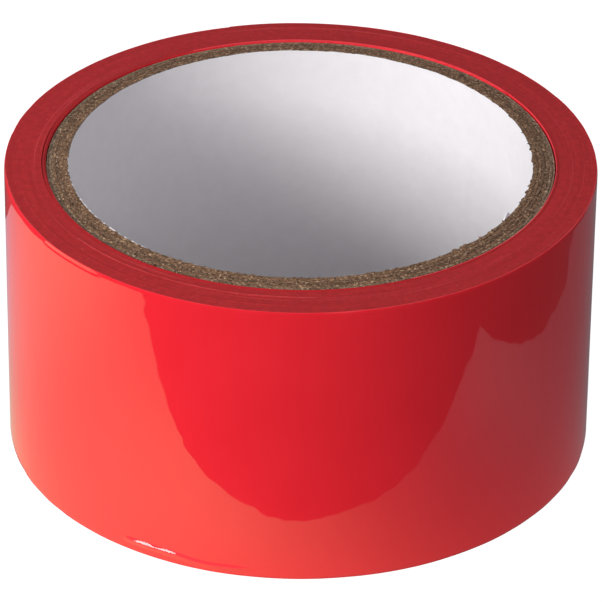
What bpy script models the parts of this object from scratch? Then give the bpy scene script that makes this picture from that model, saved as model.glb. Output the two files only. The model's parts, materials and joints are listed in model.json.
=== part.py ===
"""A roll of glossy vinyl tape on a spiral-wound paperboard core, lying on one of its flat sides.

Everything is in metres. The roll's axis is +Z, and the origin is on the axis at the side that the roll
rests on. Angles are in degrees, counter-clockwise from +X seen from above. The strip of tape starts on
the core and winds outwards counter-clockwise. Every ring uses the same facet angles, so that the thin
gaps between neighbouring rings stay the same all round.
"""

import math

import bmesh
import bpy

# Driving dimensions
TAPE_WIDTH = 0.050
ROLL_RADIUS = 0.0486
CORE_RADIUS = 0.0416
BORE_RADIUS = 0.0380
CORE_RECESS = 0.0002  # each end of the core lies this far inside the tape's side face
LINER_THICKNESS = 0.00020
WRAP_THICKNESS = 0.00025
GLUE_LINE = 0.00005  # the gap that stands for glue or adhesive between two layers
PLY_COUNT = 5
FULL_TURNS = 52  # whole turns of tape from the strip's start to the same angle in the last turn
INNER_TURN_COUNT = 4  # the first turns, which stand away from the others over part of the circle

# Angles on the roll, all on facet lines
FACET_COUNT = 96
FACET = 360 / FACET_COUNT
STRIP_START = 9 * FACET  # where the strip's first end is stuck to the core
STRIP_END = 28 * FACET  # where the strip's last end is cut off
PEEL_LINE = 22 * FACET  # the line about which the loose end lifts
STEP_ARC = 0.1  # the step down at an end of the strip takes this much of the circle
BUTT_GAP = 0.3  # between the cut end and the start of the outer turn
PEEL_GAP = 0.18  # from the peel line to the tape on either side of it

# The loosened stretch between the inner turns and the rest
LOOSE_CENTRE = 175
LOOSE_HALF_ARC = 27
LOOSE_DEPTH = 0.0002

# The butt seams of the core's helically wound plies
SEAM_TWIST = 95  # how far round a seam turns over the core's length
SEAM_WIDTH = 0.0003
SEAM_ROWS = 16
SEAM_OVERRUN = 0.001  # the cutter passes this far beyond the ply's walls and ends
LINER_SEAM = 270
SEAM_STAGGER = 130

SHARP_ANGLE = math.radians(30)  # edges bent more than this stay sharp when shaded

# Worked out from the driving dimensions
STRIP_TURNS = FULL_TURNS + (STRIP_END - STRIP_START) / 360
FILM = (ROLL_RADIUS - CORE_RADIUS - 3 * GLUE_LINE) / (STRIP_TURNS + 1)
STRIP_BASE = CORE_RADIUS + GLUE_LINE
PLY_BASE = BORE_RADIUS + LINER_THICKNESS + GLUE_LINE
WRAP_BASE = CORE_RADIUS - WRAP_THICKNESS
PLY_PITCH = (WRAP_BASE - PLY_BASE) / PLY_COUNT
CORE_BOTTOM = CORE_RECESS
CORE_TOP = TAPE_WIDTH - CORE_RECESS

# Linear RGB
TAPE_RED = (0.520, 0.012, 0.022)
LINER_WHITE = (0.800, 0.790, 0.775)
WRAP_KRAFT = (0.235, 0.165, 0.110)
BOARD_DARK = (0.130, 0.080, 0.052)
BOARD_LIGHT = (0.185, 0.118, 0.078)


def clear_scene():
    for obj in list(bpy.data.objects):
        bpy.data.objects.remove(obj, do_unlink=True)


def paint(obj, colour, roughness, coat=0.0):
    """Gives the object a material of its own."""
    material = bpy.data.materials.new(obj.name)
    material.use_nodes = True
    shader = material.node_tree.nodes["Principled BSDF"]
    shader.inputs["Base Color"].default_value = (*colour, 1)
    shader.inputs["Roughness"].default_value = roughness
    shader.inputs["Metallic"].default_value = 0
    shader.inputs["Coat Weight"].default_value = coat
    obj.data.materials.append(material)


def polar(angle, radius, z):
    turn = math.radians(angle)
    return (radius * math.cos(turn), radius * math.sin(turn), z)


def new_object(name, shape, origin=(0, 0, 0)):
    """Turns a bmesh into a smooth-shaded object whose origin is at the given point."""
    bmesh.ops.recalc_face_normals(shape, faces=shape.faces)
    bmesh.ops.translate(shape, vec=[-c for c in origin], verts=shape.verts)
    mesh = bpy.data.meshes.new(name)
    shape.to_mesh(mesh)
    shape.free()
    mesh.shade_smooth()
    mesh.set_sharp_from_angle(angle=SHARP_ANGLE)
    obj = bpy.data.objects.new(name, mesh)
    obj.location = origin
    bpy.context.scene.collection.objects.link(obj)
    return obj


def band(name, angles, inner, outer, bottom, top, closed, origin=(0, 0, 0)):
    """A wall round the axis: inner and outer are functions that give its two radii at an angle."""
    shape = bmesh.new()
    columns = []
    for angle in angles:
        corners = ((inner(angle), bottom), (outer(angle), bottom), (outer(angle), top), (inner(angle), top))
        columns.append([shape.verts.new(polar(angle, radius, z)) for radius, z in corners])
    following = columns[1:] + (columns[:1] if closed else [])
    for here, there in zip(columns, following):
        for i in range(4):
            j = (i + 1) % 4
            shape.faces.new((here[i], there[i], there[j], here[j]))
    if not closed:
        shape.faces.new(columns[0])
        shape.faces.new(columns[-1])
    return new_object(name, shape, origin)


def facet_angles(first, last):
    """The two given angles and every facet line between them."""
    lines = [k * FACET for k in range(math.ceil(first / FACET), math.floor(last / FACET) + 1)]
    return sorted({first, last, *lines})


def ring_angles(*steps):
    """Every facet line of a whole ring, with a second station just past each step."""
    return sorted({k * FACET for k in range(FACET_COUNT)} | {step + STEP_ARC for step in steps})


def climb(angle, step):
    """How far a spiral surface has risen at an angle: one film over a turn, falling back just past the step."""
    turned = (angle - step) % 360 or 360
    return FILM * turned / 360


def looseness(angle):
    """The width of the crescent gap behind the inner turns."""
    away = abs(angle - LOOSE_CENTRE) / LOOSE_HALF_ARC
    return LOOSE_DEPTH * (1 + math.cos(math.pi * away)) / 2 if away < 1 else 0


# The surfaces of the wound tape, as radii at an angle


def first_turns_inside(angle):
    return STRIP_BASE + climb(angle, STRIP_START)


def first_turns_outside(angle):
    return first_turns_inside(angle) + INNER_TURN_COUNT * FILM


def pack_inside(angle):
    return first_turns_outside(angle) + GLUE_LINE + looseness(angle)


def last_turn_outside(angle):
    return ROLL_RADIUS - FILM + climb(angle, STRIP_END)


def last_turn_inside(angle):
    return last_turn_outside(angle) - FILM


def pack_outside(angle):
    return last_turn_inside(angle) - GLUE_LINE


def seam_cutter(name, inside, outside, seam):
    """A thin helical ribbon, right through a ply's wall and past both of its ends."""
    shape = bmesh.new()
    low = CORE_BOTTOM - SEAM_OVERRUN
    high = CORE_TOP + SEAM_OVERRUN
    half = math.degrees(SEAM_WIDTH / 2 / outside)
    rows = []
    for row in range(SEAM_ROWS + 1):
        z = low + (high - low) * row / SEAM_ROWS
        angle = seam + SEAM_TWIST * (z / TAPE_WIDTH - 0.5)
        near, far = inside - SEAM_OVERRUN, outside + SEAM_OVERRUN
        corners = ((angle - half, near), (angle - half, far), (angle + half, far), (angle + half, near))
        rows.append([shape.verts.new(polar(turn, radius, z)) for turn, radius in corners])
    for lower, upper in zip(rows, rows[1:]):
        for i in range(4):
            j = (i + 1) % 4
            shape.faces.new((lower[i], lower[j], upper[j], upper[i]))
    shape.faces.new(rows[0])
    shape.faces.new(rows[-1])
    bmesh.ops.triangulate(shape, faces=shape.faces)
    cutter = new_object(name, shape)
    cutter.hide_render = True
    cutter.display_type = "WIRE"
    return cutter


def wound_ply(name, inside, outside, seam, colour, roughness):
    """One layer of the core: a tube with a helical butt seam."""
    ply = band(name, ring_angles(), lambda _: inside, lambda _: outside, CORE_BOTTOM, CORE_TOP, closed=True)
    cut = ply.modifiers.new("butt_seam", "BOOLEAN")
    cut.operation = "DIFFERENCE"
    cut.solver = "EXACT"
    cut.object = seam_cutter(f"{name}_seam", inside, outside, seam)
    paint(ply, colour, roughness)


def build_core():
    """The white liner, the chipboard plies and the kraft wrap, each glued to the one before."""
    wound_ply("core_liner", BORE_RADIUS, BORE_RADIUS + LINER_THICKNESS, LINER_SEAM, LINER_WHITE, 0.6)
    for ply in range(PLY_COUNT):
        inside = PLY_BASE + ply * PLY_PITCH
        outside = inside + PLY_PITCH - GLUE_LINE
        seam = LINER_SEAM + (ply + 1) * SEAM_STAGGER
        colour = BOARD_DARK if ply % 2 else BOARD_LIGHT
        wound_ply(f"core_ply_{ply + 1}", inside, outside, seam, colour, 0.95)
    seam = LINER_SEAM + (PLY_COUNT + 1) * SEAM_STAGGER
    wound_ply("core_wrap", WRAP_BASE, CORE_RADIUS, seam, WRAP_KRAFT, 0.9)


def build_tape():
    """The strip, split where it behaves differently: inner turns, pack, outer turn and loose end."""
    inner_turns = band(
        "inner_turns", ring_angles(STRIP_START), first_turns_inside, first_turns_outside, 0, TAPE_WIDTH, closed=True
    )
    wound_turns = band(
        "wound_turns", ring_angles(STRIP_START, STRIP_END), pack_inside, pack_outside, 0, TAPE_WIDTH, closed=True
    )
    outer_turn = band(
        "outer_turn",
        facet_angles(STRIP_END + BUTT_GAP, PEEL_LINE - PEEL_GAP + 360),
        last_turn_inside,
        last_turn_outside,
        0,
        TAPE_WIDTH,
        closed=False,
    )
    peel_radius = (last_turn_inside(PEEL_LINE) + last_turn_outside(PEEL_LINE)) / 2
    free_end = band(
        "free_end",
        facet_angles(PEEL_LINE + PEEL_GAP, STRIP_END),
        last_turn_inside,
        last_turn_outside,
        0,
        TAPE_WIDTH,
        closed=False,
        origin=polar(PEEL_LINE, peel_radius, 0),
    )
    for piece in (inner_turns, wound_turns, outer_turn, free_end):
        paint(piece, TAPE_RED, 0.2, coat=0.5)


clear_scene()
build_core()
build_tape()
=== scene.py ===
"""The looks of the tape roll: every CAD node is replaced by a detailed mesh in the same place.

Angles are in degrees, counter-clockwise from +X seen from above. Lengths are in metres.
"""

import json
import math

import bpy
import numpy as np
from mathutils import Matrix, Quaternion, Vector


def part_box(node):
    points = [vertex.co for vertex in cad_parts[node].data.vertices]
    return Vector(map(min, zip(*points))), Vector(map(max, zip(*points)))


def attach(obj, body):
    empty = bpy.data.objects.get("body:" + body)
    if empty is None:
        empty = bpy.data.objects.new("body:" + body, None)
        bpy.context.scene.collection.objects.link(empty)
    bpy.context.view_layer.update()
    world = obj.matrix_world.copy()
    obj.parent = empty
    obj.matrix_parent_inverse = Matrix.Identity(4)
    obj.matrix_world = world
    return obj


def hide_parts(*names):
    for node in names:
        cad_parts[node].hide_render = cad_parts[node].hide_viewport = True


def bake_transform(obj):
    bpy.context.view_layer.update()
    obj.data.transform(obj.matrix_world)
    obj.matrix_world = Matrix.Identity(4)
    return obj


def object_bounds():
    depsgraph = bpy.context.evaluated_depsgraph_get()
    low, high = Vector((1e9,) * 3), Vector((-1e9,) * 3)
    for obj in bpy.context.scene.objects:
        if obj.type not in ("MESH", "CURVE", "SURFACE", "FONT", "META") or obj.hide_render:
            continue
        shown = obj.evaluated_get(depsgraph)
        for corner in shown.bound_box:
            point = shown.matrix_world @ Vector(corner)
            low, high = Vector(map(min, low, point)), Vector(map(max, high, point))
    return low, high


MM = 0.001
SEED = 20

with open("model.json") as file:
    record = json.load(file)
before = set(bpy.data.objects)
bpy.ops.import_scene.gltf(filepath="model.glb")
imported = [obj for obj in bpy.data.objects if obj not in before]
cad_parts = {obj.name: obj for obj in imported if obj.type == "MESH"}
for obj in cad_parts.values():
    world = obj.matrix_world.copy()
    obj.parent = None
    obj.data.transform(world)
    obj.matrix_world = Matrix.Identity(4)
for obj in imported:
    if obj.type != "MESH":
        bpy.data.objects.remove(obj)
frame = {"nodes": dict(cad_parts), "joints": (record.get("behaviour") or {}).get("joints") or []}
CAD_LOW, CAD_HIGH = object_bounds()
NODES = frame["nodes"]
HINGE = frame["joints"][0]["pos_m"]


# ------------------------------------------------
# Sizes, read from the frame
# ------------------------------------------------


def polar_of(node):
    """The angles and the radii of a CAD node's vertices."""
    points = np.array([vertex.co for vertex in NODES[node].data.vertices])
    return np.degrees(np.arctan2(points[:, 1], points[:, 0])), np.hypot(points[:, 0], points[:, 1])


def ring_radii(node):
    """The inner and outer radius of a round tube."""
    radii = polar_of(node)[1]
    middle = (radii.min() + radii.max()) / 2
    return np.median(radii[radii < middle]), np.median(radii[radii > middle])


TAPE_WIDTH = CAD_HIGH.z - CAD_LOW.z
TAB_ANGLES, TAB_RADII = polar_of("free_end")
SAME_ANGLE = 0.01  # vertices this close in angle are at the same place
CUT_ANGLE = float(TAB_ANGLES.max())
PEEL_ANGLE = math.degrees(math.atan2(HINGE[1], HINGE[0]))
ROLL_RADIUS = float(TAB_RADII.max())
FILM = float(np.ptp(TAB_RADII[TAB_ANGLES > CUT_ANGLE - SAME_ANGLE]))

INNER_TURN_COUNT = 4
INNER_ANGLES, INNER_RADII = polar_of("inner_turns")
START_ANGLE = float(INNER_ANGLES[INNER_RADII.argmax()])
STRIP_BASE = float(INNER_RADII.min())
PACK_BASE = float(polar_of("wound_turns")[1].min())
PACK_TURNS = round((ROLL_RADIUS - FILM - PACK_BASE) / FILM - (CUT_ANGLE - START_ANGLE) / 360)

CORE_NODES = [f"core_ply_{number}" for number in range(1, 6)] + ["core_wrap"]
BORE_RADIUS, LINER_OUTSIDE = ring_radii("core_liner")
WRAP_OUTSIDE = ring_radii("core_wrap")[1]
CORE_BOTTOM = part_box("core_wrap")[0].z
CORE_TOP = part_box("core_wrap")[1].z

# The film is slit a little narrower than the tape's nominal width, and the inner turns have slid up by that
TELESCOPE = 0.2 * MM
FILM_WIDTH = TAPE_WIDTH - TELESCOPE


# ------------------------------------------------
# Smooth functions and random numbers
# ------------------------------------------------


def climb(angles, step):
    """How far a spiral surface has risen: one film in a turn, falling back just past the step."""
    turned = np.mod(np.asarray(angles, float) - step, 360)
    return FILM * np.where(turned == 0, 360, turned) / 360


def bump(x):
    """1 at 0, falling smoothly to 0 at -1 and 1."""
    return np.where(np.abs(x) < 1, (1 + np.cos(np.pi * np.clip(x, -1, 1))) / 2, 0)


def rise(x):
    """0 below 0, 1 above 1, and smooth between them."""
    t = np.clip(x, 0, 1)
    return t * t * (3 - 2 * t)


def away(angles, centre):
    """The signed angle from the centre, between -180 and 180."""
    return np.mod(np.asarray(angles, float) - centre + 180, 360) - 180


def ring_noise(angles, knots, random):
    """A smooth random function of the angle round a ring, between -1 and 1, with so many knots."""
    values = random.uniform(-1, 1, knots)
    at = np.mod(np.asarray(angles, float) / 360, 1) * knots
    first = np.floor(at).astype(int) % knots
    t = rise(at - np.floor(at))
    return values[first] * (1 - t) + values[(first + 1) % knots] * t


def strip_noise(wound, spacing, random):
    """The same along the strip, by the angle wound, with a spacing in degrees from knot to knot."""
    values = random.uniform(-1, 1, int(wound.max() / spacing) + 3)
    at = wound / spacing
    first = np.floor(at).astype(int)
    t = rise(at - first)
    return values[first] * (1 - t) + values[first + 1] * t


# ------------------------------------------------
# Meshes
# ------------------------------------------------


def round_points(angles, radii, heights):
    """Points from angles, radii and heights that broadcast together."""
    turns, radii, heights = np.broadcast_arrays(np.radians(angles), radii, heights)
    return np.stack([radii * np.cos(turns), radii * np.sin(turns), heights], axis=-1)


def swept_faces(sections, corners, closed):
    """The skin over sections whose outlines each run out, up, in and down."""
    u = np.arange(sections if closed else sections - 1)[:, None]
    v = np.arange(corners)[None, :]
    here, there, after = u * corners, (u + 1) % sections * corners, (v + 1) % corners
    faces = np.stack([here + v, there + v, there + after, here + after], axis=-1).reshape(-1, 4).tolist()
    if not closed:
        faces.append(list(range(corners)))
        faces.append(list(range(sections * corners - 1, (sections - 1) * corners - 1, -1)))
    return faces


def new_piece(name, points, faces, body, nodes, materials, sharp=40):
    """A smooth-shaded mesh object that stands for CAD nodes and rides on their body."""
    used = np.unique(np.concatenate([np.asarray(face) for face in faces]))
    number = np.zeros(used.max() + 1, int)
    number[used] = np.arange(len(used))
    mesh = bpy.data.meshes.new(name)
    mesh.from_pydata(points.reshape(-1, 3)[used].tolist(), [], [number[face].tolist() for face in faces])
    mesh.shade_smooth()
    mesh.set_sharp_from_angle(angle=math.radians(sharp))
    for material in materials:
        mesh.materials.append(material)
    piece = bpy.data.objects.new(name, mesh)
    bpy.context.scene.collection.objects.link(piece)
    if body:
        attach(piece, body)
    if nodes:
        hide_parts(*nodes)
    return piece


def paint_faces(piece, numbers):
    """Gives each face the piece's material of that number, counted from 0."""
    piece.data.polygons.foreach_set("material_index", np.asarray(numbers).astype(np.int32))


# ------------------------------------------------
# Materials
# ------------------------------------------------


class Shader:
    """A Principled material, with short calls for the nodes that feed it."""

    def __init__(self, name, **constants):
        self.material = bpy.data.materials.new(name)
        self.material.use_nodes = True
        self.nodes = self.material.node_tree.nodes
        self.links = self.material.node_tree.links
        self.principled = self.nodes["Principled BSDF"]
        for socket, value in constants.items():
            self.principled.inputs[socket.replace("_", " ")].default_value = value

    def feed(self, socket, value):
        if isinstance(value, bpy.types.NodeSocket):
            self.links.new(value, socket)
        else:
            socket.default_value = value

    def node(self, kind, *values, **settings):
        """A node with its first inputs fed in order, or by name, and its other settings made."""
        node = self.nodes.new(f"ShaderNode{kind}")
        for name, value in settings.items():
            if hasattr(node, name):
                setattr(node, name, value)
        for socket, value in zip(node.inputs, values):
            self.feed(socket, value)
        for name, value in settings.items():
            if not hasattr(node, name):
                self.feed(node.inputs[name.replace("_", " ")], value)
        return node

    def maths(self, operation, *values):
        return self.node("Math", *values, operation=operation).outputs[0]

    def place(self):
        return self.node("TexCoord").outputs["Object"]

    def round_the_axis(self, around, outwards, upwards=0.0):
        """Coordinates with so many pattern cells to a turn, a metre of radius and a metre of height."""
        x, y, z = self.node("SeparateXYZ", self.place()).outputs
        squares = [self.maths("MULTIPLY", length, length) for length in (x, y)]
        radius = self.maths("SQRT", self.maths("ADD", *squares))
        reach = around / math.tau
        return self.node(
            "CombineXYZ",
            self.maths("MULTIPLY", self.maths("DIVIDE", x, radius), reach),
            self.maths("MULTIPLY", self.maths("DIVIDE", y, radius), reach),
            self.maths("ADD", self.maths("MULTIPLY", radius, outwards), self.maths("MULTIPLY", z, upwards)),
        ).outputs[0]

    def noise(self, vector, scale=1.0, detail=3.0, roughness=0.5):
        return self.node("TexNoise", vector, Scale=scale, Detail=detail, Roughness=roughness).outputs[0]

    def between(self, value, low, high, first=0.0, last=1.0):
        """Maps the value's range from low to high onto first to last, and clamps it."""
        return self.node("MapRange", value, low, high, first, last).outputs[0]

    def mix(self, share, first, second, blend="MIX"):
        node = self.node("Mix", data_type="RGBA", blend_type=blend)
        self.feed(node.inputs[0], share)
        for socket, value in zip((node.inputs[6], node.inputs[7]), (first, second)):
            self.feed(socket, value if isinstance(value, bpy.types.NodeSocket) else (*value, 1))
        return node.outputs[2]

    def colour(self, value):
        self.feed(self.principled.inputs["Base Color"], value)

    def roughness(self, value):
        self.feed(self.principled.inputs["Roughness"], value)

    def relief(self, height, distance, strength=1.0):
        bumped = self.node("Bump", Strength=strength, Distance=distance, Height=height)
        self.feed(self.principled.inputs["Normal"], bumped.outputs[0])


def tape_face():
    """The film's glossy outer face: clear red with the faintest cloudiness."""
    shader = Shader("tape_face", IOR=1.6)
    red, paler_red = (0.82, 0.0140, 0.0260), (0.85, 0.0170, 0.0300)
    cloud = shader.noise(shader.place(), scale=90, detail=4)
    shader.colour(shader.mix(shader.between(cloud, 0.3, 0.7), red, paler_red))
    haze = shader.noise(shader.place(), scale=260)
    shader.roughness(shader.between(haze, 0.3, 0.7, 0.03, 0.045))
    return shader.material


def adhesive_face():
    """The film's sticky inner face: duller and darker, with a cloudy texture from being pulled off."""
    shader = Shader("adhesive_face", IOR=1.48)
    dark_red, pulled_red = (0.50, 0.016, 0.022), (0.60, 0.028, 0.034)
    cloud = shader.noise(shader.round_the_axis(60, 0, 1 / (9 * MM)), detail=5, roughness=0.6)
    shader.colour(shader.mix(shader.between(cloud, 0.35, 0.65), dark_red, pulled_red))
    shader.roughness(shader.between(cloud, 0.3, 0.7, 0.28, 0.45))
    shader.relief(cloud, 0.05 * MM, 0.5)
    return shader.material


def tape_edges():
    """The cut edges of the wound turns: matte, with streaks that follow the turns."""
    shader = Shader("tape_edges", Roughness=0.7, Specular_IOR_Level=0.1)
    dark_streak, light_streak = (0.395, 0.018, 0.0205), (0.465, 0.023, 0.0255)
    light_band, dark_mottle = (0.52, 0.028, 0.030), (0.345, 0.018, 0.020)
    pale_speck, pale_arc = (0.60, 0.12, 0.12), (0.68, 0.080, 0.085)
    broad = shader.noise(shader.round_the_axis(5, 1 / (0.9 * MM)), detail=2)
    streaks = shader.noise(shader.round_the_axis(14, 1 / (0.25 * MM)), detail=3, roughness=0.65)
    mottle = shader.noise(shader.place(), scale=900, detail=3)
    speckle = shader.noise(shader.place(), scale=2200, detail=2)
    tone = shader.mix(shader.between(streaks, 0.36, 0.64), dark_streak, light_streak)
    tone = shader.mix(shader.between(broad, 0.4, 0.7, 0, 0.5), tone, light_band)
    tone = shader.mix(shader.between(mottle, 0.38, 0.62, 0, 0.6), tone, dark_mottle)
    tone = shader.mix(shader.between(speckle, 0.64, 0.80, 0, 0.4), tone, pale_speck)
    arcs = shader.noise(shader.round_the_axis(4, 1 / (0.55 * MM)), detail=3, roughness=0.6)
    shader.colour(shader.mix(shader.between(arcs, 0.61, 0.69, 0, 0.5), tone, pale_arc))
    shader.relief(mottle, 0.02 * MM, 0.5)
    return shader.material


def painted_lit_arc_edge():
    """Arcs of the wound edges that stand proud, painted paler: painted light for the flank that catches the
    key.
    """
    shader = Shader("painted_lit_arc_edge", Roughness=0.7, Specular_IOR_Level=0.1)
    # painted light: the paler red stands for the key's light on the proud flank
    red, lit_red = (0.43, 0.028, 0.031), (0.60, 0.075, 0.080)
    lit_patches = shader.noise(shader.round_the_axis(90, 1 / (0.2 * MM)), detail=3, roughness=0.6)
    shader.colour(shader.mix(shader.between(lit_patches, 0.35, 0.6), red, lit_red))
    return shader.material


def painted_lit_lip():
    """The proud edge of the first turn, painted a brighter red: painted light for the key's light on the
    thin film.
    """
    shader = Shader("painted_lit_lip", IOR=1.45)
    # painted light: these brighter reds stand for the key's light on the lip
    bright_red, brightest_red = (0.88, 0.024, 0.040), (0.98, 0.040, 0.055)
    cloud = shader.noise(shader.round_the_axis(300, 0, 1 / MM), detail=3)
    shader.colour(shader.mix(shader.between(cloud, 0.3, 0.7), bright_red, brightest_red))
    shader.roughness(shader.between(cloud, 0.3, 0.7, 0.35, 0.5))
    return shader.material


def board(name, dark, light, fleck, pits=0.9):
    """Chipboard seen on its cut end: short fibres along the ply, pale flecks, and pits darkened with painted
    shade.
    """
    shader = Shader(name, Roughness=0.95, Specular_IOR_Level=0.15)
    shadow = (0.03, 0.019, 0.012)
    fibres = shader.noise(shader.round_the_axis(420, 1 / (0.30 * MM)), detail=4, roughness=0.75)
    clumps = shader.noise(shader.round_the_axis(60, 1 / (0.5 * MM)), detail=3)
    grains = shader.noise(shader.place(), scale=2600, detail=3, roughness=0.65)
    flecks = shader.noise(shader.round_the_axis(430, 1 / (0.28 * MM), 1 / (0.3 * MM)), detail=3)
    tone = shader.mix(shader.between(fibres, 0.38, 0.60), dark, light)
    tone = shader.mix(shader.between(clumps, 0.42, 0.62, 0, 0.45), tone, dark)
    tone = shader.mix(shader.between(flecks, 0.57, 0.66), tone, fleck)
    # painted shade darkens the pits
    shader.colour(shader.mix(shader.between(grains, 0.48, 0.36, 0, pits), tone, shadow))
    shader.relief(shader.maths("ADD", fibres, grains), 0.10 * MM)
    return shader.material


def liner_paper():
    """Smooth white liner paper with a faint mottle."""
    shader = Shader("liner_paper", IOR=1.45)
    greyer, whiter, cooler = (0.86, 0.828, 0.830), (0.905, 0.875, 0.877), (0.86, 0.832, 0.838)
    mottle = shader.noise(shader.place(), scale=420, detail=5, roughness=0.6)
    clouds = shader.noise(shader.round_the_axis(24, 0, 1 / (30 * MM)), detail=2)
    tone = shader.mix(shader.between(mottle, 0.3, 0.7), greyer, whiter)
    shader.colour(shader.mix(shader.between(clouds, 0.35, 0.7, 0, 0.5), tone, cooler))
    shader.roughness(shader.between(mottle, 0.3, 0.7, 0.45, 0.6))
    shader.relief(mottle, 0.02 * MM, 0.5)
    return shader.material


FACE = tape_face()
ADHESIVE = adhesive_face()
EDGES = tape_edges()
PAINTED_LIT_ARC = painted_lit_arc_edge()
PAINTED_LIT_LIP = painted_lit_lip()
LINER_PAPER = liner_paper()
KRAFT = board("kraft_wrap", (0.20, 0.150, 0.098), (0.36, 0.275, 0.180), (0.50, 0.41, 0.285), pits=0.5)
WARM_BOARD = board("warm_board", (0.110, 0.060, 0.033), (0.33, 0.188, 0.105), (0.56, 0.375, 0.22))
DARK_BOARD = board("dark_board", (0.09, 0.051, 0.029), (0.27, 0.155, 0.091), (0.48, 0.33, 0.21))
PALE_BOARD = board("pale_board", (0.12, 0.078, 0.046), (0.33, 0.225, 0.138), (0.54, 0.41, 0.27))
TORN_PAPER = board("torn_paper", (0.16, 0.120, 0.090), (0.30, 0.235, 0.180), (0.50, 0.44, 0.37))


# ------------------------------------------------
# The outer turn and the free end
# ------------------------------------------------

RIM_CURL = 0.13 * MM  # how far the film's edges are drawn in
RIM_CURL_WIDTH = 0.7 * MM
RIM_UNEVENNESS, RIM_KNOTS = 0.6, 44  # the curl is weaker by up to this share; the knots of its noise
WIDE_CURL_MIDDLE, WIDE_CURL_HALF_ARC = 199, 19  # where the top edge is drawn in further
WIDE_CURL, WIDE_CURL_WIDTH = 0.24 * MM, 1.10 * MM
FOLD_START, FOLD_END = 212.5, 226  # where the top edge is stepped in along a fold instead
FOLD_START_TAPER, FOLD_END_TAPER = 1.2, 5
FOLD, FOLD_WIDTH, FOLD_FROM_EDGE = 0.085 * MM, 0.21 * MM, 0.90 * MM
EDGE_ROUND = 0.025 * MM
WAVE_SLOPE = 0.0015  # of the longest waves
SHORT_WAVES = 50  # a wave with this many round the circle is twice as steep
# The waves of the film: how many round the circle, and half waves up the wall
WAVES = (
    (7, 2), (9, 1), (12, 3), (14, 2), (17, 1), (21, 4), (26, 2),
    (33, 5), (41, 3), (52, 6), (71, 8), (90, 5), (110, 9),
)

# One fold near the bottom edge: a ridge with a sloping upper flank, steeper in two slim lenses
CREASE_ANGLES = (234, 246, 249.5, 253.5, 262.5)
CREASE_HEIGHTS = (2.10, 1.98, 1.56, 1.34, 1.72)  # mm, at those angles
CREASE_START_TAPER, CREASE_END_TAPER = 2, 5
CREASE_SLOPE, STEEP_SLOPE = 0.40, 0.61
CREASE_WIDTH = 0.47 * MM
CREASE_FOOT = 1.1 * MM  # the ridge fades out over this much height below its line
STEEP_LENSES = ((239.6, 3.4, 0.46 * MM), (244.4, 3.6, 0.34 * MM))  # middle, half-arc, width

# Nicks and dents: angle, height, half-widths along and up, and depth, in mm but for the angle
NICKS = (
    (265.6, 49.0, 1.2, 0.35, 0.05),
    (284.0, 48.9, 0.9, 0.30, 0.045),
    (308.0, 48.7, 1.0, 0.40, 0.04),
    (228.3, 49.3, 0.5, 0.25, 0.05),
    (247.5, 23.8, 1.2, 1.1, 0.012),
    (253.6, 17.6, 1.3, 1.0, -0.012),
    (241.6, 48.1, 1.0, 0.6, -0.020),
    (241.4, 46.4, 1.2, 0.9, 0.022),
    (290.0, 14.2, 1.8, 1.2, 0.008),
    (261.5, 12.6, 1.6, 1.0, 0.010),
)


def film_outside(angles):
    """The outer radius of the last turn."""
    return ROLL_RADIUS - FILM + climb(angles, CUT_ANGLE)


def waviness(angles, heights):
    """The slight unevenness of a wound film."""
    random = np.random.default_rng(SEED)
    total = 0
    for around, up in WAVES:
        phase, tilt = random.uniform(0, math.tau, 2)
        rate = math.hypot(around / ROLL_RADIUS, up * math.pi / FILM_WIDTH)
        crests = np.cos(around * np.radians(angles) + phase)
        wave = crests * np.cos(up * math.pi * heights / FILM_WIDTH + tilt)
        total = total + WAVE_SLOPE * (1 + (around / SHORT_WAVES) ** 2) / rate * wave
    return total


def rim_curl(angles, heights):
    """How far the film's edges are drawn in."""
    angles = np.mod(angles, 360)
    upper = rise(2 * heights / FILM_WIDTH - 0.5)
    from_edge = np.minimum(heights, FILM_WIDTH - heights)
    wide = upper * rise(2 * bump((angles - WIDE_CURL_MIDDLE) / WIDE_CURL_HALF_ARC))
    depth = RIM_CURL + (WIDE_CURL - RIM_CURL) * wide
    width = RIM_CURL_WIDTH + (WIDE_CURL_WIDTH - RIM_CURL_WIDTH) * wide
    curl = depth * np.clip(1 - from_edge / width, 0, 1) ** 2
    fold = FOLD * rise((FOLD_FROM_EDGE - from_edge) / FOLD_WIDTH)
    starting = rise((angles - FOLD_START) / FOLD_START_TAPER)
    folded = upper * starting * (1 - rise((angles - FOLD_END) / FOLD_END_TAPER))
    unevenness = np.abs(ring_noise(angles, RIM_KNOTS, np.random.default_rng(SEED + 3)))
    weaker = RIM_UNEVENNESS * unevenness * (1 - wide)
    return -curl * (1 - weaker) * (1 - folded) - fold * folded


def crease(angles, heights):
    """How far the crease's ridge stands out."""
    line = MM * np.interp(angles, CREASE_ANGLES, CREASE_HEIGHTS)
    start = rise((angles - CREASE_ANGLES[0]) / CREASE_START_TAPER)
    end = rise((angles - CREASE_ANGLES[-1] + CREASE_END_TAPER) / CREASE_END_TAPER)
    width = CREASE_WIDTH * start * (1 - end)
    steep = 0
    for middle, half_arc, lens_width in STEEP_LENSES:
        steep = np.maximum(steep, lens_width * bump((angles - middle) / half_arc))
    above = np.maximum(heights - line, 0)
    flank = CREASE_SLOPE * np.maximum(width - above, 0)
    flank = flank + (STEEP_SLOPE - CREASE_SLOPE) * np.maximum(steep - above, 0)
    return flank * rise(1 + (heights - line) / CREASE_FOOT)


def nicks(angles, heights):
    """The wall's nicks and dents. One with a negative depth is a swelling."""
    total = 0
    for angle, height, along, up, depth in NICKS:
        across = np.radians(angles - angle) * ROLL_RADIUS / (along * MM)
        total = total - depth * MM * np.exp(-(across**2) - ((heights - height * MM) / (up * MM)) ** 2)
    return total


def wall_relief(angles, heights):
    """How far the wall stands out of the plain spiral."""
    at = np.mod(angles, 360)
    return waviness(at, heights) + rim_curl(at, heights) + crease(at, heights) + nicks(at, heights)


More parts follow.
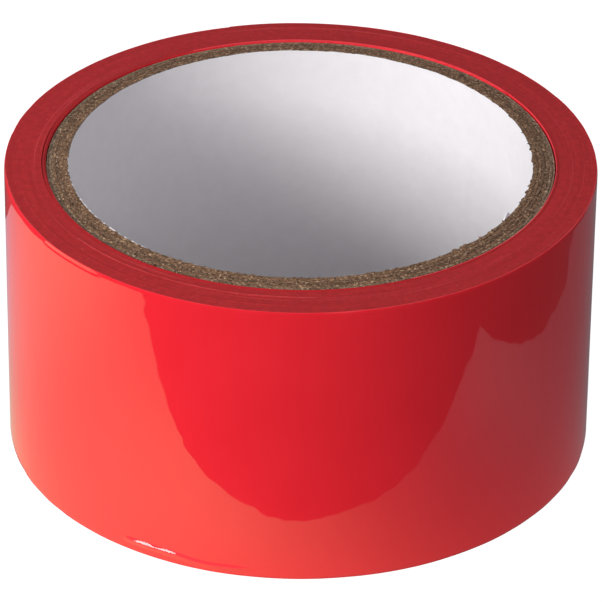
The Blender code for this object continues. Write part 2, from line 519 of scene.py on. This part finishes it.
# The rows of points up the wall: from where to where, and how far apart
FOOT_ROWS = (EDGE_ROUND, 0.9 * MM, 0.14 * MM)
CREASE_ROWS = (0.95 * MM, 2.9 * MM, 0.07 * MM)
RIM_ROWS = (EDGE_ROUND, 1.9 * MM, 0.1 * MM)  # measured down from the top edge
MIDDLE_ROWS = 70  # with the last of the crease's and the first of the rim's
BACK_ROWS = (EDGE_ROUND, 0.4 * MM, 0.9 * MM)  # those of the inner face near each edge, measured from it


def wall_heights():
    """Heights up the film, close together near both edges."""
    foot = np.arange(*FOOT_ROWS)
    low = np.arange(*CREASE_ROWS)
    high = FILM_WIDTH - np.arange(*RIM_ROWS)[::-1]
    middle = np.linspace(low[-1], high[0], MIDDLE_ROWS)[1:-1]
    return np.concatenate([foot, low, middle, high])


def film_sections(angles):
    """The film's outline at each angle, and how many of its corners come before its inner face."""
    angles = np.asarray(angles)[:, None]
    up = wall_heights()[None, :]
    near_edge = np.array(BACK_ROWS)
    down = np.concatenate([FILM_WIDTH - near_edge, [FILM_WIDTH / 2], near_edge[::-1]])[None, :]
    base = film_outside(angles)
    edge = base + wall_relief(angles, np.array([[0.0, FILM_WIDTH]]))
    rim = np.concatenate([edge - FILM + 2 * EDGE_ROUND, edge - 2 * EDGE_ROUND], axis=1)
    flat = 0 * angles
    radii = np.concatenate(
        [
            rim[:, [0, 2]],
            base + wall_relief(angles, up),
            rim[:, [3, 1]],
            base - FILM + EDGE_ROUND + rim_curl(angles, down) + waviness(angles, down),
        ],
        axis=1,
    )
    heights = np.concatenate(
        [flat, flat, flat + up, flat + FILM_WIDTH, flat + FILM_WIDTH, flat + down],
        axis=1,
    )
    return round_points(angles, radii, heights), up.size + 3


BUTT_GAP = 0.25  # from the cut end to the start of the outer turn
OUTER_TURN_SECTIONS, FREE_END_SECTIONS = 640, 48


def build_outer_turn():
    """The last turn, up to the peel line."""
    points, _ = film_sections(np.linspace(CUT_ANGLE + BUTT_GAP, PEEL_ANGLE + 360, OUTER_TURN_SECTIONS))
    faces = swept_faces(*points.shape[:2], closed=False)
    new_piece("outer_film", points, faces, "roll", ["outer_turn"], [FACE])


def build_free_end():
    """The tab that peels, with the adhesive on its inner face."""
    points, back = film_sections(np.linspace(PEEL_ANGLE, CUT_ANGLE, FREE_END_SECTIONS))
    sections, corners = points.shape[:2]
    faces = swept_faces(sections, corners, closed=False)
    tab = new_piece("peel_end", points, faces, None, ["free_end"], [FACE, ADHESIVE])
    paint_faces(tab, [index % corners >= back for index in range(len(faces) - 2)] + [False, False])
    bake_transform(tab)


# ------------------------------------------------
# The wound pack and the inner turns
# ------------------------------------------------

SECTIONS = 384  # round a whole turn
PACK_GAP = 0.01 * MM  # to the outer film
PACK_INWARDS = 0.035 * MM  # the pack's inner wall lies this much nearer to the inner turns than in CAD
# The crescent gap between the pack and the inner turns, which fades out over some lines of the side face
LOOSE_CENTRE, LOOSE_HALF_ARC, LOOSE_DEPTH = 175, 27, 0.2 * MM
LOOSE_LINES = 8
SLIDE_POWER = 1.3  # how fast the slide fades outwards
CURL_POWER = 9  # the curl of the rim reaches only the last lines
# Unevenness of the strip's edge: how far up or down, and degrees wound from knot to knot
EDGE_SCATTER, PACK_SPACING, INNER_SPACING = 0.006 * MM, 70, 55
SLOW_SCATTER, SLOW_SPACING = 0.02 * MM, 200
PROUD_TURN, PROUD_SPACING = 0.03 * MM, 47
PROUD_BAND = 0.2  # only the top of that noise, down to this far from 1, makes the edge stand proud
GROOVE_DEPTH = 0.009 * MM
# Arcs of the edge that stand proud on the near side: middle, half-arc, line of the side face, height
PROUD_ARCS = ((244, 42, 26, 0.10 * MM), (238, 55, 62, 0.045 * MM), (282, 34, 24, 0.03 * MM))
PROUD_LINES, PROUD_FLANK = 3, 2  # an arc's ridge ends so many lines to either side, and slopes over so many
LIT_ARC_HEIGHT = 0.05 * MM  # what stands higher is painted paler, as painted light on its lit flank


def side_shift(share, wound, random):
    """How far each point of the strip's edge has slid up: share is 0 at the core and 1 at the outer turn."""
    shift = TELESCOPE * (1 - share) ** SLIDE_POWER
    shift = shift + EDGE_SCATTER * strip_noise(wound, PACK_SPACING, random)
    proud = np.clip(strip_noise(wound, PROUD_SPACING, random) - (1 - PROUD_BAND), 0, 1)
    return shift + PROUD_TURN * proud / PROUD_BAND


def build_pack():
    """The turns under the outer one, with spiral side faces of two strips to each turn of tape."""
    last = 2 * PACK_TURNS
    cut = round((CUT_ANGLE - START_ANGLE) / 360 * SECTIONS)
    lines = np.arange(last + 1)[None, :]
    angles = (START_ANGLE + 360 * np.arange(SECTIONS) / SECTIONS)[:, None]
    wound = 180 * lines + angles - START_ANGLE
    radii = PACK_BASE + (ROLL_RADIUS - FILM - PACK_GAP - PACK_BASE) * wound / wound[cut, last]
    radii[:, 0] -= PACK_INWARDS
    loose = LOOSE_DEPTH * bump(away(angles, LOOSE_CENTRE) / LOOSE_HALF_ARC)
    radii = radii + loose * np.exp(-lines / LOOSE_LINES)
    random = np.random.default_rng(SEED + 1)
    shift = side_shift(wound / wound.max(), wound, random)
    groove = np.where(lines % 2 == 0, GROOVE_DEPTH, 0)
    proud = 0
    for middle, half_arc, line, height in PROUD_ARCS:
        ridge = np.clip((PROUD_LINES - np.abs(lines - line)) / PROUD_FLANK, 0, 1)
        proud = proud + height * ridge * rise(2 * bump(away(angles, middle) / half_arc))
    drawn_in = rim_curl(angles, FILM_WIDTH) * (lines / last) ** CURL_POWER
    top = round_points(angles, radii + drawn_in, FILM_WIDTH + shift - groove + proud)
    bottom = round_points(angles, radii, np.maximum(shift + groove, 0))

    count = last + 1
    k, j = np.meshgrid(np.arange(SECTIONS), np.arange(last), indexing="ij")
    kept = (k < cut) | (j < last - 2)
    k, j = k[kept], j[kept]
    # the faces of the highest proud arc get the paler painted light
    lit_arc_faces = np.minimum(proud[k, j], proud[k, j + 1]) > LIT_ARC_HEIGHT
    here = k * count + j
    there = np.where(k < SECTIONS - 1, (k + 1) * count + j, j + 2)
    under = SECTIONS * count
    sides = [
        np.stack([here, here + 1, there + 1, there], axis=-1),
        np.stack([there, there + 1, here + 1, here], axis=-1) + under,
    ]

    def wall(lines_at, outward):
        """A wall over the edge of the side faces, at one line for each section."""
        k = np.arange(SECTIONS)
        here = k * count + lines_at
        there = np.where(k < SECTIONS - 1, (k + 1) * count + lines_at, lines_at + 2)
        corners = [here + under, there + under, there, here]
        return np.stack(corners if outward else corners[::-1], axis=-1)

    def step(section, first, forward):
        """The two faces that close an end of the strip."""
        a = section * count + first + np.arange(2)
        corners = [a, a + 1, a + 1 + under, a + under]
        return np.stack(corners if forward else corners[::-1], axis=-1)

    outer = wall(np.where(np.arange(SECTIONS) < cut, last, last - 2), True)
    inner = wall(0 * np.arange(SECTIONS), False)
    faces = np.concatenate([*sides, inner, step(0, 0, False), step(cut, last - 2, True), outer])
    points = np.concatenate([top, bottom])
    materials = [EDGES, FACE, PAINTED_LIT_ARC]
    pack = new_piece("wound_pack", points, faces.tolist(), "roll", ["wound_turns"], materials)
    edge, film, lit_arc = range(len(materials))
    paint = np.full(len(faces), edge)
    paint[: len(lit_arc_faces)] = np.where(lit_arc_faces, lit_arc, edge)
    paint[-len(outer) :] = film
    paint_faces(pack, paint)


# Over its first turn and a quarter the strip has a lip that stands proud, painted brighter red as painted
# light: slightly over a long arc with tapering ends, and more over a shorter one
LIP_TURNS, LIP_END_TAPER = 1.25, 10
LIP_CENTRE, LIP_HALF_ARC, LIP_TAPER = 25, 106, 36
LIP_HEIGHT = 0.01 * MM
LEAST_COLLAR = 0.1  # the collar is this share of the film's height over the core, and all of it at the lip
LIT_LIP_FROM = 0.4  # from this share of the lip on, its outside and its top get the painted light too
PROUD_CENTRE, PROUD_HALF_ARC = 70, 60
FIRST_TURN_PROUD = 0.05 * MM
TURN_GAP = 0.02 * MM  # between two of the loosened inner turns
INNER_LOOSENESS = 0.35  # of the crescent's depth
DOG_EAR_ARC = 2.2
DOG_EAR_LEAN = 0.4 * MM


def build_inner_turns():
    """The inner turns as one ribbon. The first stands proud, and the strip's corner leans over the core."""
    wound = 360 * np.arange(INNER_TURN_COUNT * SECTIONS + 1)[:, None] / SECTIONS
    angles = START_ANGLE + wound
    random = np.random.default_rng(SEED + 2)
    inside = STRIP_BASE + FILM * wound / 360
    outside = inside + FILM - TURN_GAP
    crescent = bump(away(angles, LOOSE_CENTRE) / LOOSE_HALF_ARC)
    loose = INNER_LOOSENESS * LOOSE_DEPTH * crescent * rise(wound / 360 - 0.5)
    shift = TELESCOPE + EDGE_SCATTER * strip_noise(wound, INNER_SPACING, random)
    shift = shift + SLOW_SCATTER * strip_noise(wound, SLOW_SPACING, random)
    first = 1 - rise((wound - 360 * LIP_TURNS) / LIP_END_TAPER)
    lip = first * rise((LIP_HALF_ARC - np.abs(away(angles, LIP_CENTRE))) / LIP_TAPER)
    proud = first * rise(1.5 * bump(away(angles, PROUD_CENTRE) / PROUD_HALF_ARC))
    shift = shift + LIP_HEIGHT * lip + FIRST_TURN_PROUD * proud
    lean = DOG_EAR_LEAN * (1 - rise(wound / DOG_EAR_ARC))
    upper = FILM_WIDTH + shift
    collar = upper - (upper - core_top(WRAP_OUTSIDE)) * (LEAST_COLLAR + (1 - LEAST_COLLAR) * lip)
    rows = [
        (inside + loose, shift),
        (outside + loose, shift),
        (outside + loose, collar),
        (outside + loose - lean, upper),
        (inside + loose - lean, upper),
        (inside + loose, collar),
    ]
    radii = np.concatenate([radius for radius, _ in rows], axis=1)
    heights = np.concatenate([height for _, height in rows], axis=1)
    points = round_points(angles, radii, heights)
    sections, corners = points.shape[:2]
    faces = swept_faces(sections, corners, closed=False)
    materials = [FACE, EDGES, PAINTED_LIT_LIP]
    turns = new_piece("first_turns", points, faces, "roll", ["inner_turns"], materials)
    film, edge, lit_lip = range(len(materials))
    # Round the ribbon: bottom edge, outside, outside of the collar, top edge, inside of the collar, inside
    paint = np.tile([edge, film, film, edge, film, film], (sections - 1, 1))
    # the lip's faces are painted brighter red as painted light
    paint[lip[:-1, 0] > LIT_LIP_FROM, 2:4] = lit_lip
    paint[lip[:-1, 0] > 0, 4] = lit_lip
    paint_faces(turns, [*paint.ravel(), edge, edge])


# ------------------------------------------------
# The core
# ------------------------------------------------

CORE_SECTIONS = 1200
END_LINES = 5  # across a ply's cut end
PLY_GAP = 0.02 * MM  # a layer stops this short of the radii where two layers meet
CUT_DROP, CUT_RISE = 0.12 * MM, 0.46 * MM  # the top cut starts low at the wrap and slopes up to the bore
END_ROUGHNESS = 0.05 * MM
EDGE_DROP = 0.02 * MM  # a ply's two edges lie lower than the rest of its end
SWAY, EDGE_SWAY, SWAY_KNOTS = 0.03 * MM, 0.012 * MM, 350  # how far the lines wander across, and at the edges
PIT_BAND = 0.28  # only the top of its noise, down to this far from 1, makes a pit
SEAM_TWIST = 95  # how far round a helical seam turns over the core's length
SEAM_STAGGER = 130  # from each layer's seam to the next one's
LINER_SEAM = 270  # at half height
SEAM_HALF_WIDTH = 0.15 * MM
SEAM_NOTCH = 0.35 * MM
SHOULDER = 0.18 * MM  # the cut has frayed a ply's edges down to this depth
FRAY = 0.03 * MM
BORE_FRAY = 0.55 * MM  # the longest burrs hang in over the liner, most of them on one side
FRAYED_MIDDLE, FRAYED_HALF_ARC, LEAST_FRAYED = 335, 130, 0.4
# Knots round the circle: for the ends' fibres, clumps, slow rise and fall and pits, and for the burrs'
# tatters, the stretches that have them and their fine fray
FIBRE_KNOTS, CLUMP_KNOTS, SLOW_KNOTS, PIT_KNOTS = 620, 260, 60, 500
TATTER_KNOTS, STRETCH_KNOTS, FRAY_KNOTS = 430, 36, 300


def end_relief(angles, seam, random):
    """How far the fibrous cut end of a ply lies below its highest fibres, along one circle."""
    fine = ring_noise(angles, FIBRE_KNOTS, random) + 0.8 * ring_noise(angles, CLUMP_KNOTS, random)
    slow = ring_noise(angles, SLOW_KNOTS, random)
    pits = np.clip(ring_noise(angles, PIT_KNOTS, random) - (1 - PIT_BAND), 0, 1) / PIT_BAND
    notch = bump(away(angles, seam) / (2 * math.degrees(SEAM_HALF_WIDTH / BORE_RADIUS)))
    return END_ROUGHNESS * (0.5 * fine + 0.5 * slow + 2.0 * pits) + SEAM_NOTCH * notch


def core_top(radii):
    """The height of the sloping top cut at each radius."""
    return CORE_TOP - CUT_DROP + CUT_RISE * (WRAP_OUTSIDE - radii) / (WRAP_OUTSIDE - BORE_RADIUS)


def burrs(angles, random):
    """How far the torn inner edge of the first ply hangs in over the liner."""
    tatters = np.clip(ring_noise(angles, TATTER_KNOTS, random) + 0.1, 0, 1)
    side = LEAST_FRAYED + (1 - LEAST_FRAYED) * bump(away(angles, FRAYED_MIDDLE) / FRAYED_HALF_ARC)
    stretches = rise(0.75 + 0.7 * ring_noise(angles, STRETCH_KNOTS, random)) * side
    return BORE_FRAY * tatters * stretches + FRAY * (1 + ring_noise(angles, FRAY_KNOTS, random))


def build_ply(name, node, inside, outside, layer, material):
    """A paperboard layer, with rough ends that dip at its seam. The first has burrs into the bore."""
    angles = 360 * np.arange(CORE_SECTIONS) / CORE_SECTIONS
    random = np.random.default_rng(SEED + 10 + layer)
    middle_seam = LINER_SEAM + layer * SEAM_STAGGER
    radii = np.linspace(inside, outside, END_LINES)
    columns = []
    for up in (False, True):
        seam = middle_seam + (SEAM_TWIST / 2 if up else -SEAM_TWIST / 2)
        for number, radius in enumerate(radii[::-1] if up else radii):
            at_edge = number in (0, END_LINES - 1)
            depth = end_relief(angles, seam, random) + (EDGE_DROP if at_edge else 0)
            sway = (EDGE_SWAY if at_edge else SWAY) * ring_noise(angles, SWAY_KNOTS, random)
            if layer == 1 and radius == inside:
                sway = -burrs(angles, random)
            level = core_top(radius) - depth if up else CORE_BOTTOM + depth
            columns.append(round_points(angles, radius + sway, level))
        at_top = core_top(inside if up else outside) - SHOULDER
        at_bottom = CORE_BOTTOM + SHOULDER
        for shoulder in (at_top, at_bottom) if up else (at_bottom, at_top):
            columns.append(round_points(angles, inside if up else outside, shoulder))
    points = np.stack(columns, axis=1)
    faces = swept_faces(*points.shape[:2], closed=True)
    new_piece(name, points, faces, "roll", [node], [material], sharp=75)


def build_core():
    """The plies and the wrap, each reaching from the one inside it to its own outer radius."""
    outsides = [LINER_OUTSIDE] + [ring_radii(node)[1] for node in CORE_NODES]
    materials = (WARM_BOARD, WARM_BOARD, DARK_BOARD, WARM_BOARD, PALE_BOARD, KRAFT)
    for layer, (node, material) in enumerate(zip(CORE_NODES, materials), start=1):
        name, slot = ("kraft_wrap", "kraft") if node == "core_wrap" else (f"board_ply_{layer}", "board")
        build_ply(name, node, outsides[layer - 1] + PLY_GAP, outsides[layer] - PLY_GAP, layer, material)


LINER_SECTIONS, LINER_ROWS = 900, 30
LINER_MARGIN = 0.3 * MM  # from each end of the core to the nearest of those rows
LINER_DROP = 0.12 * MM
LINER_FUZZ, LINER_FRAY = 0.05 * MM, 0.03 * MM  # along its height, and into the bore
FUZZ_KNOTS, LEVEL_KNOTS, TUFT_KNOTS, LINER_FRAY_KNOTS = 420, 90, 430, 500
# A torn flap of the liner's top edge: its middle, half-arc, height and lean into the bore
FLAP_MIDDLE, FLAP_HALF_ARC = 330.5, 1.7
FLAP_HEIGHT, FLAP_LEAN = 0.62 * MM, 0.40 * MM
# Wisps of the top edge that stand up past the first ply over an arc
WISP_MIDDLE, WISP_HALF_ARC, WISP_HEIGHT = 214, 34, 0.19 * MM


def build_liner():
    """The white paper inside the core, wound on a helix with one open butt seam."""
    half_gap = math.degrees(SEAM_HALF_WIDTH / BORE_RADIUS)
    along = np.linspace(half_gap, 360 - half_gap, LINER_SECTIONS)[:, None]
    top_angles = LINER_SEAM + along + SEAM_TWIST / 2
    random = np.random.default_rng(SEED + 30)
    middle = np.linspace(CORE_BOTTOM + LINER_MARGIN, CORE_TOP - LINER_MARGIN, LINER_ROWS)[None, :]
    fuzz = np.abs(LINER_FUZZ * ring_noise(along, FUZZ_KNOTS, random))
    top = core_top(BORE_RADIUS) - LINER_DROP - fuzz - LINER_FUZZ * ring_noise(along, LEVEL_KNOTS, random)
    flap = np.sqrt(bump(away(top_angles, FLAP_MIDDLE) / FLAP_HALF_ARC))
    tufts = np.clip(ring_noise(along, TUFT_KNOTS, np.random.default_rng(SEED + 31)) + 0.2, 0, 1)
    wisps = WISP_HEIGHT * tufts * bump(away(top_angles, WISP_MIDDLE) / WISP_HALF_ARC)
    top = top + FLAP_HEIGHT * flap + wisps
    up = np.concatenate([CORE_BOTTOM + fuzz, middle + 0 * along, top], axis=1)
    heights = np.concatenate([up, up[:, ::-1]], axis=1)
    fray = LINER_FRAY * ring_noise(along, LINER_FRAY_KNOTS, random)
    inner_top = BORE_RADIUS + fray - FLAP_LEAN * flap
    inner = np.concatenate([BORE_RADIUS + fray, BORE_RADIUS + 0 * along + 0 * middle, inner_top], axis=1)
    outer = inner + LINER_OUTSIDE - BORE_RADIUS
    angles = LINER_SEAM + along + SEAM_TWIST * (heights / TAPE_WIDTH - 0.5)
    points = round_points(angles, np.concatenate([outer, inner[:, ::-1]], axis=1), heights)
    sections, corners = points.shape[:2]
    faces = swept_faces(sections, corners, closed=False)
    liner = new_piece("liner_tube", points, faces, "roll", ["core_liner"], [LINER_PAPER, TORN_PAPER])
    cut_edges = (corners // 2 - 1, corners - 1)
    torn = np.isin(np.arange(len(faces) - 2) % corners, cut_edges).reshape(-1, corners)
    torn[(flap + wisps)[:-1, 0] > 0, cut_edges[0]] = False
    paint_faces(liner, [*torn.ravel(), True, True])


HAIR_COUNT = 520
HAIR_SEGMENTS = 4
HAIR_SIDES = 3
HAIR_LENGTHS, HAIR_RADII = (0.25, 0.9), (0.014, 0.03)  # mm
HAIR_TAPER = 0.55  # a fibre's ends are thinner than its middle by this share
HAIR_BEND = 0.28  # how far its heading strays from one segment to the next
HAIR_SWING, HAIR_LIFT = 0.5, 0.25  # how far its first heading strays from the ply's, to the side and up
BARE_MARGIN = 0.4 * MM  # no fibre starts this near to the core's outside
FLATTENED = 0.25  # the share of their height that the fibres under the core keep


def hair(start, heading, length, radius, random):
    """The points of one bent fibre."""
    points = []
    side = np.cross(heading, (0, 0, 1))
    side = side / np.linalg.norm(side)
    lift = np.cross(side, heading)
    place = np.array(start)
    for segment in range(HAIR_SEGMENTS + 1):
        taper = radius * (1 - HAIR_TAPER * abs(2 * segment / HAIR_SEGMENTS - 1))
        for corner in range(HAIR_SIDES):
            turn = math.tau * corner / HAIR_SIDES
            points.append(place + taper * (side * math.cos(turn) + lift * math.sin(turn)))
        heading = heading + random.normal(0, HAIR_BEND, 3) * (1, 1, 0.6)
        heading = heading / np.linalg.norm(heading)
        place = place + heading * length / HAIR_SEGMENTS
    return points


def build_fibres():
    """Loose fibres on the core's two cut ends, most of them lying along the plies."""
    random = np.random.default_rng(SEED + 40)
    reach = WRAP_OUTSIDE - BARE_MARGIN - LINER_OUTSIDE
    points, faces = [], []
    ring = np.arange(HAIR_SIDES)
    for number in range(HAIR_COUNT):
        up = number % 3 > 0
        angle = random.uniform(0, math.tau)
        radius = LINER_OUTSIDE + reach * random.beta(0.8, 1.2)
        turn = angle + random.normal(0, HAIR_SWING)
        heading = np.array([-math.sin(turn), math.cos(turn), abs(random.normal(0, HAIR_LIFT))])
        heading = heading / np.linalg.norm(heading)
        length = random.uniform(*HAIR_LENGTHS) * MM
        start = (radius * math.cos(angle), radius * math.sin(angle), 0.0)
        strand = np.array(hair(start, heading, length, random.uniform(*HAIR_RADII) * MM, random))
        strand[:, 2] = core_top(radius) + strand[:, 2] if up else CORE_BOTTOM - FLATTENED * strand[:, 2]
        base = len(points)
        points.extend(strand)
        for segment in range(HAIR_SEGMENTS):
            a = base + segment * HAIR_SIDES + ring
            b = base + segment * HAIR_SIDES + (ring + 1) % HAIR_SIDES
            quads = np.stack([a, b, b + HAIR_SIDES, a + HAIR_SIDES], axis=-1)
            faces.extend((quads if up else quads[:, ::-1]).tolist())
        ends = [(base + ring)[::-1], base + HAIR_SEGMENTS * HAIR_SIDES + ring]
        faces.extend((end if up else end[::-1]).tolist() for end in ends)
    fibre = board("pale_fibre", (0.22, 0.16, 0.11), (0.42, 0.33, 0.24), (0.62, 0.54, 0.44))
    new_piece("core_fibres", np.array(points), faces, "roll", [], [fibre], sharp=180)


# ------------------------------------------------
# Stage, lights and camera
# ------------------------------------------------

CAMERA_LENS = 300.2
CAMERA_SENSOR = 36
CAMERA_TARGET = Vector((0.29, 0, 23.06)) * MM
CAMERA_DISTANCE = 0.8353
CAMERA_ELEVATION = 30.85
CAMERA_ROLL = 0.60

LIGHT_DISTANCE = 0.60
KEY_DIRECTION = 222
KEY_ELEVATION = 21
KEY_SIZE = (0.37, 0.21)
KEY_POWER = 2.95
GLINT_SIZE = (0.28, 0.16)  # a small light in front of the key that only the gloss shows
GLINT_POWER = 1.6
AMBIENT = (0.567, 0.567, 0.622)
AMBIENT_DIMMED = 0.25  # the share of it that comes from low on the right
DIM_SIDE = (1, 0, -1.5)
DIM_START, DIM_FULL = 0.2, 0.7  # a direction's dot product with that side, where the dimming starts and ends

# The top of the stand as the glossy film mirrors it: a slightly uneven plate with pools of light on it
STAND_CORNERS = (
    (-0.135, -0.085),
    (-0.099, -0.080),
    (-0.046, -0.0708),
    (-0.024, -0.0690),
    (-0.004, -0.0655),
    (0.014, -0.0664),
    (0.060, -0.0647),
    (0.096, -0.059),
    (0.0935, -0.036),
    (0.0935, -0.012),
    (0.097, 0.018),
    (0.108, 0.036),
    (0.125, 0.087),
    (-0.135, 0.057),
)
# The pools' centres, reaches and colours
POOLS = (
    ((-0.150, -0.029, 0.0), 0.088, (1.25, 1.25, 0.72)),
    ((-0.030, -0.060, 0.0), 0.043, (0.95, 0.95, 0.48)),
    ((-0.065, 0.050, 0.0), 0.045, (0.15, 0.11, 0.24)),
    ((0.085, -0.050, 0.0), 0.036, (0.25, 0.25, 0.26)),
)
STAND_SHADE = (0.165, 0.165, 0.18)
BOUNCE_SHARE = 0.28  # the stand sheds this share of its pools' light on the roll, and an even light
BOUNCE_SHADE = (1.60, 1.60, 1.60)
BOUNCE_REACH = 0.060  # how far out on the right it sheds light
SURROUNDINGS_GLOW = 0.05
FLOOR_GLOW = 0.97
FLOOR_REACH = 6.0
DISC_SIDES = 64


def emitting(name, glow, albedo):
    """A plain material that both glows and scatters light."""
    material = bpy.data.materials.new(name)
    material.use_nodes = True
    nodes, links = material.node_tree.nodes, material.node_tree.links
    nodes.clear()
    add = nodes.new("ShaderNodeAddShader")
    emission = nodes.new("ShaderNodeEmission")
    emission.inputs["Strength"].default_value = glow
    diffuse = nodes.new("ShaderNodeBsdfDiffuse")
    diffuse.inputs["Color"].default_value = (albedo, albedo, albedo, 1)
    output = nodes.new("ShaderNodeOutputMaterial")
    links.new(emission.outputs[0], add.inputs[0])
    links.new(diffuse.outputs[0], add.inputs[1])
    links.new(add.outputs[0], output.inputs["Surface"])
    return material


def lit_stand(strength, shade):
    """A glowing plate, brighter round the middle of each pool of light."""
    material = bpy.data.materials.new("lit_stand")
    material.use_nodes = True
    nodes, links = material.node_tree.nodes, material.node_tree.links
    nodes.clear()
    place = nodes.new("ShaderNodeTexCoord").outputs["Object"]

    def step(kind, operation, *values):
        node = nodes.new(kind)
        node.operation = operation
        for socket, value in zip(node.inputs, values):
            if isinstance(value, bpy.types.NodeSocket):
                links.new(value, socket)
            else:
                socket.default_value = value
        return node

    def maths(*values):
        return step("ShaderNodeMath", *values).outputs[0]

    def vectors(*values):
        return step("ShaderNodeVectorMath", *values)

    light = shade
    for centre, reach, colour in POOLS:
        share = maths("DIVIDE", vectors("DISTANCE", place, centre).outputs["Value"], reach)
        fading = maths("POWER", math.exp(-1), maths("MULTIPLY", share, share))
        light = vectors("MULTIPLY_ADD", fading, colour, light).outputs[0]
    emission = nodes.new("ShaderNodeEmission")
    emission.inputs["Strength"].default_value = strength
    links.new(light, emission.inputs["Color"])
    output = nodes.new("ShaderNodeOutputMaterial")
    links.new(emission.outputs[0], output.inputs["Surface"])
    return material


def ground(name, corners, depth, material, *seen_by):
    """A flat sheet just below the roll that only some kinds of ray see."""
    mesh = bpy.data.meshes.new(name)
    mesh.from_pydata([(x, y, -depth) for x, y in corners], [], [tuple(range(len(corners)))])
    mesh.materials.append(material)
    sheet = bpy.data.objects.new(name, mesh)
    bpy.context.scene.collection.objects.link(sheet)
    for kind in ("camera", "diffuse", "glossy", "transmission", "shadow"):
        setattr(sheet, f"visible_{kind}", kind in seen_by)


def build_stage():
    square = [(x * FLOOR_REACH, y * FLOOR_REACH) for x, y in ((-1, -1), (1, -1), (1, 1), (-1, 1))]
    turns = np.linspace(0, math.tau, DISC_SIDES, endpoint=False)
    under_roll = [(ROLL_RADIUS * math.cos(turn), ROLL_RADIUS * math.sin(turn)) for turn in turns]
    ground("floor", square, 0.01 * MM, emitting("floor", FLOOR_GLOW, 0.15), "camera")
    ground("floor_under_roll", under_roll, 0.02 * MM, emitting("shade", 0.0, 0.06), "diffuse", "glossy")
    ground("stand_mirrored", STAND_CORNERS, 0.03 * MM, lit_stand(1.0, STAND_SHADE), "glossy")
    shedding = [(min(x, BOUNCE_REACH), y) for x, y in STAND_CORNERS]
    ground("stand_bounce", shedding, 0.04 * MM, lit_stand(BOUNCE_SHARE, BOUNCE_SHADE), "diffuse")
    surroundings = emitting("surroundings", SURROUNDINGS_GLOW, 0.05)
    ground("surroundings", square, 0.05 * MM, surroundings, "glossy", "diffuse")


def build_world():
    """An even, cool light from all round that is dimmer low on the right; the camera sees it white."""
    world = bpy.data.worlds.new("studio")
    bpy.context.scene.world = world
    world.use_nodes = True
    nodes, links = world.node_tree.nodes, world.node_tree.links

    def mix(share, first, second):
        node = nodes.new("ShaderNodeMix")
        node.data_type = "RGBA"
        links.new(share, node.inputs[0])
        for socket, value in zip((node.inputs[6], node.inputs[7]), (first, second)):
            if isinstance(value, bpy.types.NodeSocket):
                links.new(value, socket)
            else:
                socket.default_value = (*value, 1)
        return node.outputs[2]

    lowness = nodes.new("ShaderNodeVectorMath")
    lowness.operation = "DOT_PRODUCT"
    lowness.inputs[1].default_value = DIM_SIDE
    links.new(nodes.new("ShaderNodeTexCoord").outputs["Generated"], lowness.inputs[0])
    dimness = nodes.new("ShaderNodeMapRange")
    dimness.interpolation_type = "SMOOTHSTEP"
    dimness.inputs["From Min"].default_value = DIM_START
    dimness.inputs["From Max"].default_value = DIM_FULL
    links.new(lowness.outputs["Value"], dimness.inputs["Value"])
    dimmed = [AMBIENT_DIMMED * value for value in AMBIENT]
    shade = mix(dimness.outputs["Result"], AMBIENT, dimmed)
    seen = mix(nodes.new("ShaderNodeLightPath").outputs["Is Camera Ray"], shade, (1, 1, 1))
    links.new(seen, nodes["Background"].inputs["Color"])


def area_light(name, size, power):
    """A rectangular light on the key's side that faces the middle of the roll."""
    data = bpy.data.lights.new(name, "AREA")
    data.shape = "RECTANGLE"
    data.size, data.size_y = size
    data.energy = power
    light = bpy.data.objects.new(name, data)
    bpy.context.scene.collection.objects.link(light)
    turn, lift = math.radians(KEY_DIRECTION), math.radians(KEY_ELEVATION)
    towards = Vector((math.cos(turn) * math.cos(lift), math.sin(turn) * math.cos(lift), math.sin(lift)))
    light.location = Vector((0, 0, TAPE_WIDTH / 2)) + towards * LIGHT_DISTANCE
    light.rotation_mode = "QUATERNION"
    light.rotation_quaternion = (-towards).to_track_quat("-Z", "Y")
    light.visible_camera = False
    return light


def build_lights():
    area_light("key", KEY_SIZE, KEY_POWER)
    glint = area_light("glint", GLINT_SIZE, GLINT_POWER)
    glint.visible_diffuse = False


def build_camera():
    data = bpy.data.cameras.new("camera")
    data.lens = CAMERA_LENS
    data.sensor_width = CAMERA_SENSOR
    camera = bpy.data.objects.new("camera", data)
    bpy.context.scene.collection.objects.link(camera)
    lift = math.radians(CAMERA_ELEVATION)
    back = Vector((0, -math.cos(lift), math.sin(lift)))
    camera.location = CAMERA_TARGET + back * CAMERA_DISTANCE
    camera.rotation_mode = "QUATERNION"
    level = (-back).to_track_quat("-Z", "Y")
    camera.rotation_quaternion = level @ Quaternion((0, 0, 1), math.radians(CAMERA_ROLL))
    bpy.context.scene.camera = camera


build_camera()
build_lights()
build_world()
build_stage()
build_outer_turn()
build_free_end()
build_pack()
build_inner_turns()
build_core()
build_liner()
build_fibres()
bpy.context.scene.view_settings.view_transform = "Standard"
